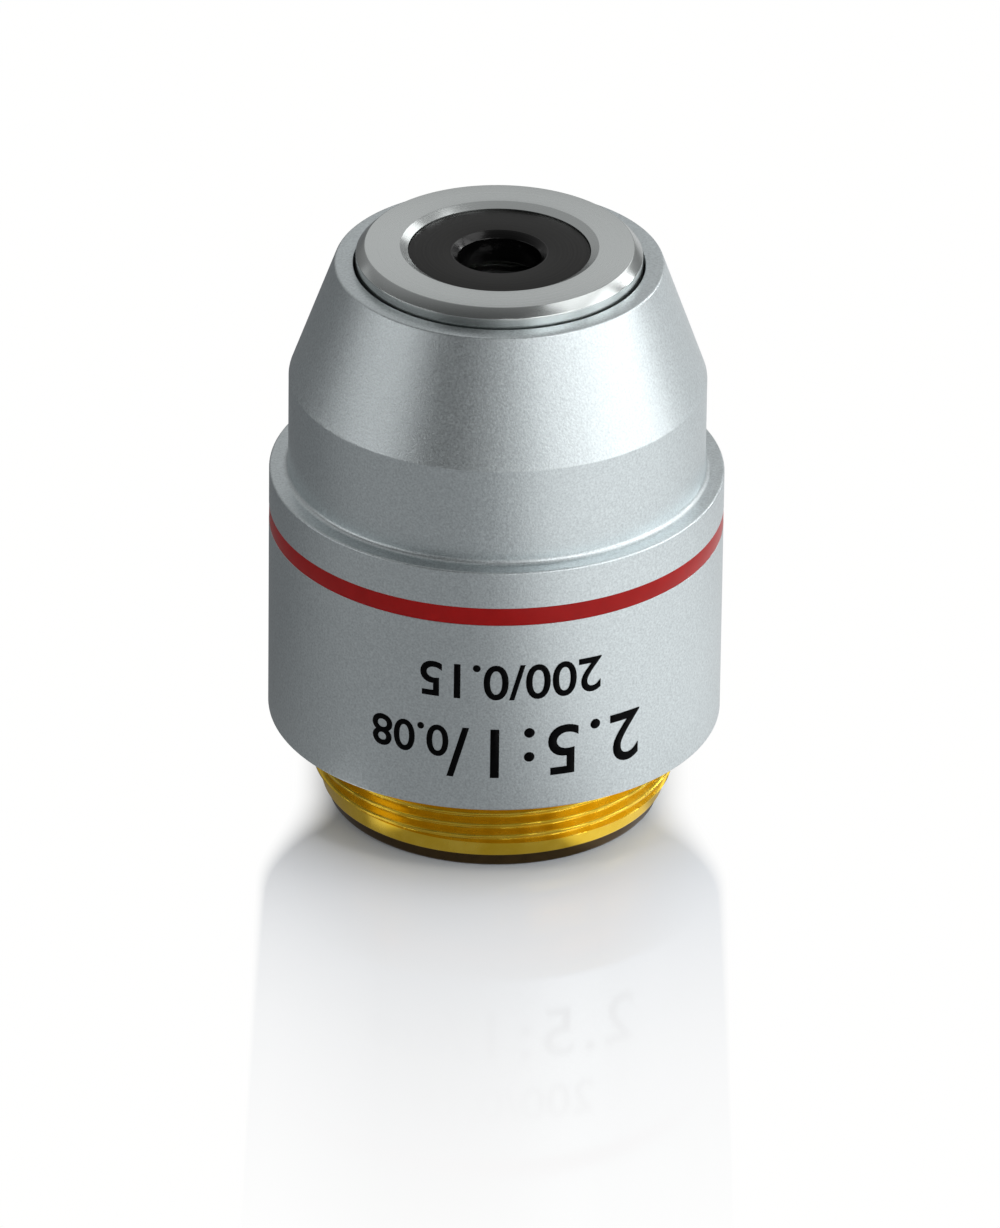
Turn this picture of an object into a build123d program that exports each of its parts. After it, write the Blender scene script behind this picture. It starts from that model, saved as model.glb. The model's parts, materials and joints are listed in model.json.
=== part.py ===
from build123d import *
from math import sqrt
import os

# A low-power plan microscope objective, standing on its rear end with the front lens up.
# Z is the optical axis, and Z = 0 is the rear end face. Lengths are in millimetres.

# Mounting thread and the plain pilot below it
THREAD_DIAMETER = 20.32
THREAD_ALLOWANCE = 0.05
THREAD_PITCH = 0.7056
THREAD_DEPTH_PER_PITCH = 0.6403
THREAD_LENGTH = 2.7
THREAD_CHAMFER = 0.15
RELIEF_LENGTH = 0.9
RELIEF_BELOW_CORE = 0.16
PILOT_LENGTH = 0.95
PILOT_BELOW_CORE = 0.29
PILOT_CHAMFER = 0.1

# Outer sleeve, from the mounting shoulder up to the rim
SHOULDER_WIDTH = 2.52
SLEEVE_LENGTH = 14.9
SLEEVE_EDGE_BREAK = 0.12
NOSE_STEP = 1.06
NOSE_LENGTH = 5.7
CONE_LENGTH = 6.95
RIM_WIDTH = 0.98
RIM_EDGE_BREAK = 0.08

# Red band, filled almost flush
BAND_SETBACK = 2.22
BAND_WIDTH = 1.06
BAND_DEPTH = 0.15
BAND_SINK = 0.01

# Brass body inside the sleeve
ENGAGED_LENGTH = 8.0
ENGAGED_ABOVE_THREAD = 0.8
BODY_RECESS = 0.1
BODY_LEAD_IN = 0.3

# Rear stop ring
STOP_RING_HEIGHT = 0.85
STOP_RING_SETBACK = 0.27
STOP_RING_EDGE_BREAK = 0.1
STOP_SPIGOT_LENGTH = 1.8
STOP_SPIGOT_WALL = 1.18

# Lens barrel
BARREL_WALL = 1.33
BARREL_REAR_WALL = 0.7
BARREL_PROJECTION = 1.05
BARREL_GAP = 0.19
BARREL_END_MARGIN = 0.2
FACE_CHAMFER = 0.48
WINDOW_RADIUS = 5.05
WINDOW_CHAMFER = 0.35
LIP_THICKNESS = 1.3
FLANGE_SETBACK = 4.25
FLANGE_WIDTH = 0.85
FLANGE_THICKNESS = 1.5
SHIM_THICKNESS = 0.2
LOCK_RING_THICKNESS = 2.0

# Clearances between pieces that slide or screw together
SLIDE_CLEARANCE = 0.02
CHAMBER_CLEARANCE = 0.2
REAR_TUBE_CLEARANCE = 0.3
LENS_CLEARANCE = 0.03
CEMENT_THICKNESS = 0.01

# Front cell
APERTURE_RADIUS = 2.3
COUNTERSINK = 0.35
FRONT_SEAT_DEPTH = 1.77

# Spacers, middle cell, stop and rear cell
FRONT_SPACER_LENGTH = 4.8
SPACER_WALL = 1.2
MIDDLE_SEAT_DEPTH = 1.1
STOP_THICKNESS = 0.3
STOP_RADIUS = 3.0
REAR_SPACER_LENGTH = 2.8
REAR_SEAT_DEPTH = 0.9
REAR_CELL_WALL = 1.45
SEAT_WIDTH = 0.7
CELL_END_MARGIN = 0.2

# Retaining rings and their spanner slots
RETAINER_THICKNESS = 0.8
RETAINER_WIDTH = 0.65
BARREL_RETAINER_THICKNESS = 1.2
BARREL_RETAINER_WIDTH = 1.2
SLOT_WIDTH = 1.0
SLOT_DEPTH = 0.4

# Lenses: rim radius, thickness on the axis of each lens, and the surfaces' radii of curvature.
# A positive curvature bulges towards the front, a negative one towards the rear.
FRONT_LENS_RADIUS = 3.55
FRONT_THICKNESSES = (2.2, 1.0)
FRONT_CURVES = (14.0, -9.0, -60.0)
MIDDLE_LENS_RADIUS = 4.2
MIDDLE_THICKNESSES = (1.8,)
MIDDLE_CURVES = (8.0, 6.0)
REAR_LENS_RADIUS = 5.1
REAR_THICKNESSES = (3.0, 1.3)
REAR_CURVES = (18.0, -11.0, -45.0)

# How near an edge's radius and height must be to the ones asked for
MATCH = 1e-4


def surface_height(vertex, curvature, radius):
    """Height of a spherical lens surface at one radius from the axis."""
    sag = abs(curvature) - sqrt(curvature**2 - radius**2)
    return vertex - sag if curvature > 0 else vertex + sag


def lens_vertices(seat, seat_radius, rim_radius, curves, thicknesses):
    """Front and rear vertex heights of each lens in a group that rests up against its seat."""
    touch_inside = surface_height(0, curves[0], seat_radius)
    touch_outside = surface_height(0, curves[0], rim_radius)
    front = seat - max(touch_inside, touch_outside)
    vertices = []
    for thickness in thicknesses:
        vertices.append((front, front - thickness))
        front -= thickness + CEMENT_THICKNESS
    return vertices


def retainer_height(vertices, curves, lens_radius):
    """Height at which a flat retaining ring meets the rear surface of a lens group."""
    rear_vertex = vertices[-1][1]
    touch_inside = surface_height(rear_vertex, curves[-1], lens_radius - RETAINER_WIDTH)
    touch_outside = surface_height(rear_vertex, curves[-1], lens_radius)
    return min(touch_inside, touch_outside)


# Radii that follow from the sizes above
crest_radius = (THREAD_DIAMETER - THREAD_ALLOWANCE) / 2
core_radius = crest_radius - THREAD_DEPTH_PER_PITCH * THREAD_PITCH
pilot_radius = core_radius - PILOT_BELOW_CORE
relief_radius = core_radius - RELIEF_BELOW_CORE
sleeve_radius = crest_radius + SHOULDER_WIDTH
nose_radius = sleeve_radius - NOSE_STEP
engaged_radius = crest_radius + ENGAGED_ABOVE_THREAD
sleeve_bore_radius = engaged_radius + SLIDE_CLEARANCE
cell_radius = REAR_LENS_RADIUS + LENS_CLEARANCE + REAR_CELL_WALL
barrel_bore_radius = cell_radius + SLIDE_CLEARANCE
barrel_radius = barrel_bore_radius + BARREL_WALL
rear_tube_radius = barrel_bore_radius + BARREL_REAR_WALL
nose_bore_radius = barrel_radius + BARREL_GAP
rim_radius = nose_bore_radius + RIM_WIDTH
flange_radius = barrel_radius + FLANGE_WIDTH
chamber_radius = flange_radius + CHAMBER_CLEARANCE
body_bore_radius = rear_tube_radius + REAR_TUBE_CLEARANCE
stop_ring_radius = pilot_radius - STOP_RING_SETBACK
stop_spigot_radius = body_bore_radius - SLIDE_CLEARANCE
stop_ring_bore_radius = stop_spigot_radius - STOP_SPIGOT_WALL

# Heights of the outside, from the rear end up
body_end = STOP_RING_HEIGHT
pilot_top = body_end + PILOT_LENGTH
thread_top = pilot_top + THREAD_LENGTH
shoulder = thread_top + RELIEF_LENGTH
body_top = shoulder + ENGAGED_LENGTH
step = shoulder + SLEEVE_LENGTH
band_top = step - BAND_SETBACK
band_bottom = band_top - BAND_WIDTH
cone_base = step + NOSE_LENGTH
rim_height = cone_base + CONE_LENGTH
face_height = rim_height + BARREL_PROJECTION
flange_top = face_height - FLANGE_SETBACK
flange_bottom = flange_top - FLANGE_THICKNESS
chamber_top = flange_top + SHIM_THICKNESS

# Heights of the stack inside the barrel, from the front face down
stack_top = face_height - LIP_THICKNESS
cell_face = face_height - WINDOW_CHAMFER
front_seat = cell_face - FRONT_SEAT_DEPTH
front_vertices = lens_vertices(
    front_seat, APERTURE_RADIUS, FRONT_LENS_RADIUS, FRONT_CURVES, FRONT_THICKNESSES
)
front_retainer_top = retainer_height(front_vertices, FRONT_CURVES, FRONT_LENS_RADIUS)
front_cell_end = front_retainer_top - RETAINER_THICKNESS - CELL_END_MARGIN
front_spacer_end = front_cell_end - FRONT_SPACER_LENGTH
middle_seat = front_spacer_end - MIDDLE_SEAT_DEPTH
middle_seat_radius = MIDDLE_LENS_RADIUS - SEAT_WIDTH
middle_vertices = lens_vertices(
    middle_seat, middle_seat_radius, MIDDLE_LENS_RADIUS, MIDDLE_CURVES, MIDDLE_THICKNESSES
)
middle_retainer_top = retainer_height(middle_vertices, MIDDLE_CURVES, MIDDLE_LENS_RADIUS)
middle_cell_end = middle_retainer_top - RETAINER_THICKNESS - CELL_END_MARGIN
stop_end = middle_cell_end - STOP_THICKNESS
rear_spacer_end = stop_end - REAR_SPACER_LENGTH
rear_seat = rear_spacer_end - REAR_SEAT_DEPTH
rear_seat_radius = REAR_LENS_RADIUS - SEAT_WIDTH
rear_vertices = lens_vertices(
    rear_seat, rear_seat_radius, REAR_LENS_RADIUS, REAR_CURVES, REAR_THICKNESSES
)
rear_retainer_top = retainer_height(rear_vertices, REAR_CURVES, REAR_LENS_RADIUS)
rear_cell_end = rear_retainer_top - RETAINER_THICKNESS - CELL_END_MARGIN
stack_end = rear_cell_end - BARREL_RETAINER_THICKNESS
barrel_end = stack_end - BARREL_END_MARGIN


def turned(*corners):
    """A solid turned about the optical axis from the (radius, height) corners of its half section."""
    outline = Polyline(*[(radius, 0, height) for radius, height in corners], close=True)
    return revolve(make_face(outline), Axis.Z)


def ring(outer_radius, inner_radius, bottom, top):
    """A plain ring on the optical axis."""
    return turned(
        (inner_radius, bottom),
        (outer_radius, bottom),
        (outer_radius, top),
        (inner_radius, top),
    )


def circles_at(part, radius, height):
    """The round edges of a part that have one radius and lie at one height."""
    found = part.edges().filter_by(GeomType.CIRCLE)
    found = found.filter_by(lambda edge: abs(edge.radius - radius) < MATCH)
    return found.filter_by(lambda edge: abs(edge.arc_center.Z - height) < MATCH)


def slotted(part, outer_radius, bottom):
    """A ring with two slots in line across its rear face, for a pin spanner."""
    bar = Box(2 * outer_radius + SLOT_WIDTH, SLOT_WIDTH, 2 * SLOT_DEPTH)
    return part - Pos(0, 0, bottom) * bar


def outer_sleeve():
    """The satin shell: sleeve, step, upper cylinder, cone and rim, bored from the rear."""
    groove_radius = sleeve_radius - BAND_DEPTH
    shell = turned(
        (sleeve_bore_radius, shoulder),
        (sleeve_radius, shoulder),
        (sleeve_radius, band_bottom),
        (groove_radius, band_bottom),
        (groove_radius, band_top),
        (sleeve_radius, band_top),
        (sleeve_radius, step),
        (nose_radius, step),
        (nose_radius, cone_base),
        (rim_radius, rim_height),
        (nose_bore_radius, rim_height),
        (nose_bore_radius, chamber_top),
        (chamber_radius, chamber_top),
        (chamber_radius, body_top),
        (sleeve_bore_radius, body_top),
    )
    for height in (shoulder, step):
        shell = chamfer(circles_at(shell, sleeve_radius, height), SLEEVE_EDGE_BREAK)
    return chamfer(circles_at(shell, rim_radius, rim_height), RIM_EDGE_BREAK)


def colour_band():
    """The red enamel in the sleeve's groove."""
    return ring(sleeve_radius - BAND_SINK, sleeve_radius - BAND_DEPTH, band_bottom, band_top)


def mount_body():
    """The brass body: engaged part, runout groove, thread and pilot. The thread is solid to its crests."""
    body = turned(
        (body_bore_radius, body_end),
        (pilot_radius, body_end),
        (pilot_radius, pilot_top),
        (crest_radius, pilot_top),
        (crest_radius, thread_top),
        (relief_radius, thread_top),
        (relief_radius, shoulder + BODY_RECESS),
        (engaged_radius, shoulder + BODY_RECESS),
        (engaged_radius, body_top),
        (body_bore_radius, body_top),
    )
    for height in (pilot_top, thread_top):
        body = chamfer(circles_at(body, crest_radius, height), THREAD_CHAMFER)
    body = chamfer(circles_at(body, engaged_radius, body_top), BODY_LEAD_IN)
    return chamfer(circles_at(body, pilot_radius, body_end), PILOT_CHAMFER)


def rear_stop_ring():
    """The dark ring that the objective stands on. Its spigot screws into the brass body."""
    spigot_top = body_end + STOP_SPIGOT_LENGTH
    part = turned(
        (stop_ring_bore_radius, 0),
        (stop_ring_radius, 0),
        (stop_ring_radius, body_end),
        (stop_spigot_radius, body_end),
        (stop_spigot_radius, spigot_top),
        (stop_ring_bore_radius, spigot_top),
    )
    for radius in (stop_ring_radius, stop_ring_bore_radius):
        part = chamfer(circles_at(part, radius, 0), STOP_RING_EDGE_BREAK)
    return slotted(part, stop_ring_radius, 0)


def lens_barrel():
    """The tube that carries the lens stack. Its bright front ring stands out of the nose."""
    part = turned(
        (barrel_bore_radius, barrel_end),
        (rear_tube_radius, barrel_end),
        (rear_tube_radius, flange_bottom),
        (flange_radius, flange_bottom),
        (flange_radius, flange_top),
        (barrel_radius, flange_top),
        (barrel_radius, face_height),
        (WINDOW_RADIUS, face_height),
        (WINDOW_RADIUS, stack_top),
        (barrel_bore_radius, stack_top),
    )
    part = chamfer(circles_at(part, barrel_radius, face_height), FACE_CHAMFER)
    return chamfer(circles_at(part, WINDOW_RADIUS, face_height), WINDOW_CHAMFER)


def parfocal_shim():
    """The thin washer that sets how far the barrel stands out of the sleeve."""
    return ring(flange_radius, nose_bore_radius, flange_top, chamber_top)


def barrel_lock_ring():
    """The slotted ring that holds the barrel's flange up against the shim."""
    outer = chamber_radius - SLIDE_CLEARANCE
    inner = rear_tube_radius + CHAMBER_CLEARANCE
    bottom = flange_bottom - LOCK_RING_THICKNESS
    return slotted(ring(outer, inner, bottom, flange_bottom), outer, bottom)


def front_cell():
    """The black mount of the front pair, with the aperture in its face."""
    pocket_radius = FRONT_LENS_RADIUS + LENS_CLEARANCE
    neck_radius = WINDOW_RADIUS - SLIDE_CLEARANCE
    part = turned(
        (pocket_radius, front_cell_end),
        (cell_radius, front_cell_end),
        (cell_radius, stack_top),
        (neck_radius, stack_top),
        (neck_radius, cell_face),
        (APERTURE_RADIUS, cell_face),
        (APERTURE_RADIUS, front_seat),
        (pocket_radius, front_seat),
    )
    return chamfer(circles_at(part, APERTURE_RADIUS, cell_face), COUNTERSINK)


def plain_cell(top, bottom, seat, seat_radius, lens_radius):
    """A black mount with a seat for its lens and a pocket that opens to the rear."""
    pocket_radius = lens_radius + LENS_CLEARANCE
    return turned(
        (pocket_radius, bottom),
        (cell_radius, bottom),
        (cell_radius, top),
        (seat_radius, top),
        (seat_radius, seat),
        (pocket_radius, seat),
    )


def lens_retainer(top, lens_radius):
    """A slotted ring that holds a lens group against its seat."""
    outer = lens_radius + LENS_CLEARANCE - SLIDE_CLEARANCE
    bottom = top - RETAINER_THICKNESS
    return slotted(ring(outer, lens_radius - RETAINER_WIDTH, bottom, top), outer, bottom)


def barrel_retainer():
    """The slotted ring that clamps the stack of cells and spacers in the barrel."""
    inner = cell_radius - BARREL_RETAINER_WIDTH
    return slotted(ring(cell_radius, inner, stack_end, rear_cell_end), cell_radius, stack_end)


def spacer(top, bottom):
    """A tube that keeps two cells apart."""
    return ring(cell_radius, cell_radius - SPACER_WALL, bottom, top)


def ball(vertex, curvature):
    """The ball whose surface is a lens surface with this vertex, its poles turned away from the axis."""
    return Pos(0, 0, vertex - curvature) * Rot(90, 0, 0) * Sphere(abs(curvature))


def lens(vertices, curves, radius):
    """One lens: a rod cut by a ball at each end, to a bulging face or a hollow one."""
    top = max(vertices[0], surface_height(vertices[0], curves[0], radius))
    bottom = min(vertices[1], surface_height(vertices[1], curves[1], radius))
    rod = Pos(0, 0, bottom) * Cylinder(radius, top - bottom, align=(Align.CENTER, Align.CENTER, Align.MIN))
    front_ball = ball(vertices[0], curves[0])
    rear_ball = ball(vertices[1], curves[1])
    part = rod & front_ball if curves[0] > 0 else rod - front_ball
    return part & rear_ball if curves[1] < 0 else part - rear_ball


def parts_by_name():
    """Every separate piece of the objective, under its own name."""
    return {
        "outer_sleeve": outer_sleeve(),
        "colour_band": colour_band(),
        "mount_body": mount_body(),
        "rear_stop_ring": rear_stop_ring(),
        "lens_barrel": lens_barrel(),
        "parfocal_shim": parfocal_shim(),
        "barrel_lock_ring": barrel_lock_ring(),
        "barrel_retainer": barrel_retainer(),
        "front_cell": front_cell(),
        "front_crown_lens": lens(front_vertices[0], FRONT_CURVES[:2], FRONT_LENS_RADIUS),
        "front_flint_lens": lens(front_vertices[1], FRONT_CURVES[1:], FRONT_LENS_RADIUS),
        "front_retainer": lens_retainer(front_retainer_top, FRONT_LENS_RADIUS),
        "front_spacer": spacer(front_cell_end, front_spacer_end),
        "middle_cell": plain_cell(
            front_spacer_end, middle_cell_end, middle_seat, middle_seat_radius, MIDDLE_LENS_RADIUS
        ),
        "middle_lens": lens(middle_vertices[0], MIDDLE_CURVES, MIDDLE_LENS_RADIUS),
        "middle_retainer": lens_retainer(middle_retainer_top, MIDDLE_LENS_RADIUS),
        "aperture_stop": ring(cell_radius, STOP_RADIUS, stop_end, middle_cell_end),
        "rear_spacer": spacer(stop_end, rear_spacer_end),
        "rear_cell": plain_cell(
            rear_spacer_end, rear_cell_end, rear_seat, rear_seat_radius, REAR_LENS_RADIUS
        ),
        "rear_crown_lens": lens(rear_vertices[0], REAR_CURVES[:2], REAR_LENS_RADIUS),
        "rear_flint_lens": lens(rear_vertices[1], REAR_CURVES[1:], REAR_LENS_RADIUS),
        "rear_retainer": lens_retainer(rear_retainer_top, REAR_LENS_RADIUS),
    }


os.makedirs("parts", exist_ok=True)
for name, part in parts_by_name().items():
    export_step(part, f"parts/{name}.step")
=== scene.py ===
import json
from math import atan2, cos, pi, radians, sin, sqrt

import bmesh
import bpy
from mathutils import Matrix, Vector


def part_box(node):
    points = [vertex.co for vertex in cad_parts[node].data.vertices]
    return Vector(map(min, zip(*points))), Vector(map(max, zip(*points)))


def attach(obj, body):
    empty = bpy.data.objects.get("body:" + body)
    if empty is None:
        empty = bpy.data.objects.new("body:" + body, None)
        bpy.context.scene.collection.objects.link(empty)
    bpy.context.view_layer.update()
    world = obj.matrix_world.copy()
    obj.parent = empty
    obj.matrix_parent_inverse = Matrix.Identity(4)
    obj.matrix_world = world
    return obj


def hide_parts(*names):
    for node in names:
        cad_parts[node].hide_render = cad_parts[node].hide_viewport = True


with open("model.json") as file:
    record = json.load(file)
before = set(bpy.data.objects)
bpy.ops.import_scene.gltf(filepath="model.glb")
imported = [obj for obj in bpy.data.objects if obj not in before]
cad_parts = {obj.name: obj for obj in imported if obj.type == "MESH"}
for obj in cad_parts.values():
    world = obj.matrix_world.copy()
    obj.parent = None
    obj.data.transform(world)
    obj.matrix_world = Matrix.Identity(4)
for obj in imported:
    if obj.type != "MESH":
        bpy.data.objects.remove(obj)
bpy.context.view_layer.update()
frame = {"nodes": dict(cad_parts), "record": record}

# A low-power microscope objective on its mounting thread, front lens up. Lengths are in metres.
MM = 0.001
FULL_TURN = 2 * pi

# Places that the frame gives
sleeve_low, sleeve_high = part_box("outer_sleeve")
band_low, band_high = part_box("colour_band")
body_low, body_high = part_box("mount_body")
stop_low, stop_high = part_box("rear_stop_ring")
barrel_low, barrel_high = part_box("lens_barrel")
front_cell_low, front_cell_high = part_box("front_cell")
front_lens_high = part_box("front_crown_lens")[1]
rear_lens_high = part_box("rear_flint_lens")[1]
rear_cell_low, rear_cell_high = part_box("rear_cell")
rear_retainer_low, rear_retainer_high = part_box("rear_retainer")
barrel_retainer_low, barrel_retainer_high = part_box("barrel_retainer")

# Outer sleeve
NOSE_STEP = 1.06 * MM
BAND_SETBACK = 2.22 * MM
BAND_DEPTH = 0.15 * MM
NOSE_LENGTH = 5.7 * MM
RIM_WIDTH = 1.03 * MM
NOSE_ROOT_FILLET = 0.3 * MM
SLEEVE_EDGE = 0.12 * MM
RIM_EDGE = 0.09 * MM
CONE_EDGE = 0.05 * MM
GROOVE_EDGE = 0.02 * MM

# Barrel and front cell
FLANGE_SETBACK = 4.25 * MM
FLANGE_THICKNESS = 1.5 * MM
FLANGE_WIDTH = 0.85 * MM
BARREL_WALL = 1.33 * MM
BARREL_REAR_WALL = 0.7 * MM
BARREL_GAP = 0.14 * MM
FACE_CHAMFER = 0.48 * MM
WINDOW_RADIUS = 5.05 * MM
WINDOW_CHAMFER = 0.45 * MM
WINDOW_CHAMFER_DEPTH = 0.26 * MM
LIP_THICKNESS = 1.3 * MM
APERTURE_RADIUS = 2.3 * MM
COUNTERSINK = 0.35 * MM
FRONT_SEAT_DEPTH = 1.77 * MM
FINE_EDGE = 0.03 * MM
BORE_GLOSS_RADIUS = 2.62 * MM
BORE_GLOSS_FADE = 0.1 * MM
SLIDE_CLEARANCE = 0.02 * MM
CHAMBER_CLEARANCE = 0.2 * MM
CHAMBER_HEADROOM = 0.2 * MM
LENS_CLEARANCE = 0.03 * MM

# Brass body and its thread
THREAD_PITCH = 0.7056 * MM
THREAD_DEPTH = 0.6403 * THREAD_PITCH
THREAD_CREST_RADIUS = 10.135 * MM
THREAD_LENGTH = 2.7 * MM
THREAD_CHAMFER = 0.15 * MM
THREAD_ROWS = 84
THREAD_ROUNDING = 0.1
THREAD_SOFTNESS = 0.8
PILOT_LENGTH = 0.95 * MM
PILOT_BELOW_CORE = 0.05 * MM
PILOT_CHAMFER = 0.1 * MM
RELIEF_BELOW_CORE = 0.16 * MM
BODY_RECESS = 0.1 * MM
BODY_BORE_CLEARANCE = 0.3 * MM
BODY_LEAD_IN = 0.3 * MM

# Stop ring, rear cell and retaining rings
STOP_RING_HEIGHT = 0.85 * MM
STOP_RING_EDGE = 0.22 * MM
STOP_RING_FULLNESS = 0.15 * MM
STOP_RING_BORE = 6.4 * MM
RETAINER_WIDTH = 0.65 * MM
BARREL_RETAINER_WIDTH = 1.2 * MM
REAR_SEAT_DEPTH = 0.9 * MM
SEAT_WIDTH = 0.7 * MM
SLOT_WIDTH = 1.0 * MM
SLOT_DEPTH = 0.4 * MM
SLOT_REACH = 40 * MM

# Lens surfaces that show: their radii of curvature, positive where they bulge to the front
FRONT_LENS_CURVES = (14.0 * MM, -9.0 * MM)
FRONT_LENS_THICKNESS = 2.2 * MM
REAR_LENS_CURVES = (-11.0 * MM, -45.0 * MM)
REAR_LENS_THICKNESS = 1.3 * MM
LENS_RINGS = 10
FIRST_LENS_RING = 0.2

# Figures printed on the sleeve, upside down while it stands on its thread
PRINT_THICKNESS = 0.012 * MM
PRINT_LIFT = 0.006 * MM
PRINT_STRIP = 0.25 * MM
PRINT_BOLDNESS = 0.035 * MM
PRINT_CURVE_STEPS = 6

# Each print: name, figures, size, degrees round the sleeve, height of its middle, letter spacing
PRINTS = (
    ("figures_small", "200/0.15", 3.0 * MM, 4.5, 13.45 * MM, 1),
    ("figures_large", "2.5:1/", 4.35 * MM, 13.8, 9.0 * MM, 1.16),
    ("figures_side", "0.08", 2.7 * MM, -21.6, 9.6 * MM, 1),
)

# How finely round things are divided, and how near a corner's place must be to the one asked for
ROUND_STEPS = 192
EDGE_STEPS = 4
NEAR = 0.004 * MM
MERGE_DISTANCE = 0.001 * MM
SHARP_ANGLE = radians(30)

# Heights and radii that follow from the ones above
shoulder = sleeve_low.z
sleeve_radius = sleeve_high.x
step = band_high.z + BAND_SETBACK
nose_radius = sleeve_radius - NOSE_STEP
cone_base = step + NOSE_LENGTH
rim_height = sleeve_high.z
barrel_radius = barrel_high.x - FLANGE_WIDTH
barrel_bore = barrel_radius - BARREL_WALL
nose_bore = barrel_radius + BARREL_GAP
rim_radius = nose_bore + RIM_WIDTH
flange_radius = barrel_high.x
face_height = barrel_high.z
flange_top = face_height - FLANGE_SETBACK
flange_bottom = flange_top - FLANGE_THICKNESS
chamber_radius = flange_radius + CHAMBER_CLEARANCE
chamber_top = flange_top + CHAMBER_HEADROOM
rear_tube_radius = barrel_bore + BARREL_REAR_WALL
body_bore = rear_tube_radius + BODY_BORE_CLEARANCE
thread_root_radius = THREAD_CREST_RADIUS - THREAD_DEPTH
pilot_radius = thread_root_radius - PILOT_BELOW_CORE
relief_radius = thread_root_radius - RELIEF_BELOW_CORE
pilot_top = body_low.z + PILOT_LENGTH
thread_top = pilot_top + THREAD_LENGTH


def turn(name, corners, pole=False):
    """A piece turned on the axis: one ring drawn out through the (radius, height) corners of its section.
    It comes back to its first corner, or with pole it closes to a point at each end."""
    bpy.ops.object.select_all(action="DESELECT")
    radius, height = corners[0]
    bpy.ops.mesh.primitive_circle_add(vertices=ROUND_STEPS, radius=radius, location=(0, 0, height))
    piece = bpy.context.object
    piece.name = name
    piece.data.name = name
    bpy.ops.object.transform_apply(location=True, rotation=False, scale=False)
    bpy.ops.object.mode_set(mode="EDIT")
    bpy.ops.mesh.select_mode(type="EDGE")
    bpy.ops.mesh.select_all(action="SELECT")
    following = corners[1:] if pole else corners[1:] + corners[:1]
    for next_radius, next_height in following:
        bpy.ops.mesh.extrude_region()
        share = next_radius / radius
        bpy.ops.transform.resize(value=(share, share, 1), center_override=(0, 0, height))
        bpy.ops.transform.translate(value=(0, 0, next_height - height))
        radius, height = next_radius, next_height
    if pole:
        for end in (corners[0], corners[-1]):
            select_rings(piece, [end])
            bpy.ops.mesh.merge(type="CENTER")
    bpy.ops.mesh.select_all(action="SELECT")
    bpy.ops.mesh.remove_doubles(threshold=MERGE_DISTANCE)
    bpy.ops.mesh.normals_make_consistent(inside=False)
    bpy.ops.object.mode_set(mode="OBJECT")
    return piece


def select_rings(piece, corners):
    """In edit mode, selects only the round edges that lie at the (radius, height) corners."""
    bpy.ops.mesh.select_all(action="DESELECT")
    mesh = bmesh.from_edit_mesh(piece.data)
    for edge in mesh.edges:
        for radius, height in corners:
            if all(
                abs(vertex.co.xy.length - radius) < NEAR and abs(vertex.co.z - height) < NEAR
                for vertex in edge.verts
            ):
                edge.select_set(True)
    bmesh.update_edit_mesh(piece.data)


def break_edges(piece, width, *corners):
    """Rounds the edges at the (radius, height) corners."""
    make_active(piece)
    bpy.ops.object.mode_set(mode="EDIT")
    bpy.ops.mesh.select_mode(type="EDGE")
    select_rings(piece, corners)
    bpy.ops.mesh.bevel(offset=width, segments=EDGE_STEPS, affect="EDGES")
    bpy.ops.object.mode_set(mode="OBJECT")


def make_active(piece):
    bpy.ops.object.select_all(action="DESELECT")
    piece.select_set(True)
    bpy.context.view_layer.objects.active = piece


def apply_modifier(piece, kind, **settings):
    """Adds a modifier to a piece and applies it."""
    make_active(piece)
    modifier = piece.modifiers.new(kind.lower(), kind)
    for name, value in settings.items():
        setattr(modifier, name, value)
    bpy.ops.object.modifier_apply(modifier=modifier.name)


def smooth(piece):
    """Smooth shading over round faces, flat shading over flat ones."""
    make_active(piece)
    bpy.ops.object.shade_smooth_by_angle(angle=SHARP_ANGLE)
    apply_modifier(piece, "WEIGHTED_NORMAL", keep_sharp=True)


def cut_slot(piece, height):
    """Two spanner slots in line along X, across a rear face at this height."""
    bpy.ops.object.select_all(action="DESELECT")
    bpy.ops.mesh.primitive_cube_add(size=1, location=(0, 0, height))
    bar = bpy.context.object
    bar.scale = (SLOT_REACH, SLOT_WIDTH, 2 * SLOT_DEPTH)
    bpy.ops.object.transform_apply(location=True, rotation=False, scale=True)
    apply_modifier(piece, "BOOLEAN", operation="DIFFERENCE", object=bar, solver="EXACT")
    bpy.data.objects.remove(bar)


def ring_corners(outer, inner, bottom, top):
    """The section of a plain ring."""
    return [(inner, bottom), (outer, bottom), (outer, top), (inner, top)]


def make_outer_sleeve():
    bore = body_high.x + SLIDE_CLEARANCE
    groove = sleeve_radius - BAND_DEPTH
    piece = turn("sleeve_shell", [
        (bore, shoulder),
        (sleeve_radius, shoulder),
        (sleeve_radius, band_low.z),
        (groove, band_low.z),
        (groove, band_high.z),
        (sleeve_radius, band_high.z),
        (sleeve_radius, step),
        (nose_radius, step),
        (nose_radius, cone_base),
        (rim_radius, rim_height),
        (nose_bore, rim_height),
        (nose_bore, chamber_top),
        (chamber_radius, chamber_top),
        (chamber_radius, body_high.z),
        (bore, body_high.z),
    ])
    break_edges(piece, SLEEVE_EDGE, (sleeve_radius, shoulder), (sleeve_radius, step))
    break_edges(piece, NOSE_ROOT_FILLET, (nose_radius, step))
    break_edges(piece, RIM_EDGE, (rim_radius, rim_height))
    break_edges(piece, CONE_EDGE, (nose_radius, cone_base), (nose_bore, rim_height))
    break_edges(piece, GROOVE_EDGE, (sleeve_radius, band_low.z), (sleeve_radius, band_high.z))
    return piece


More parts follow.
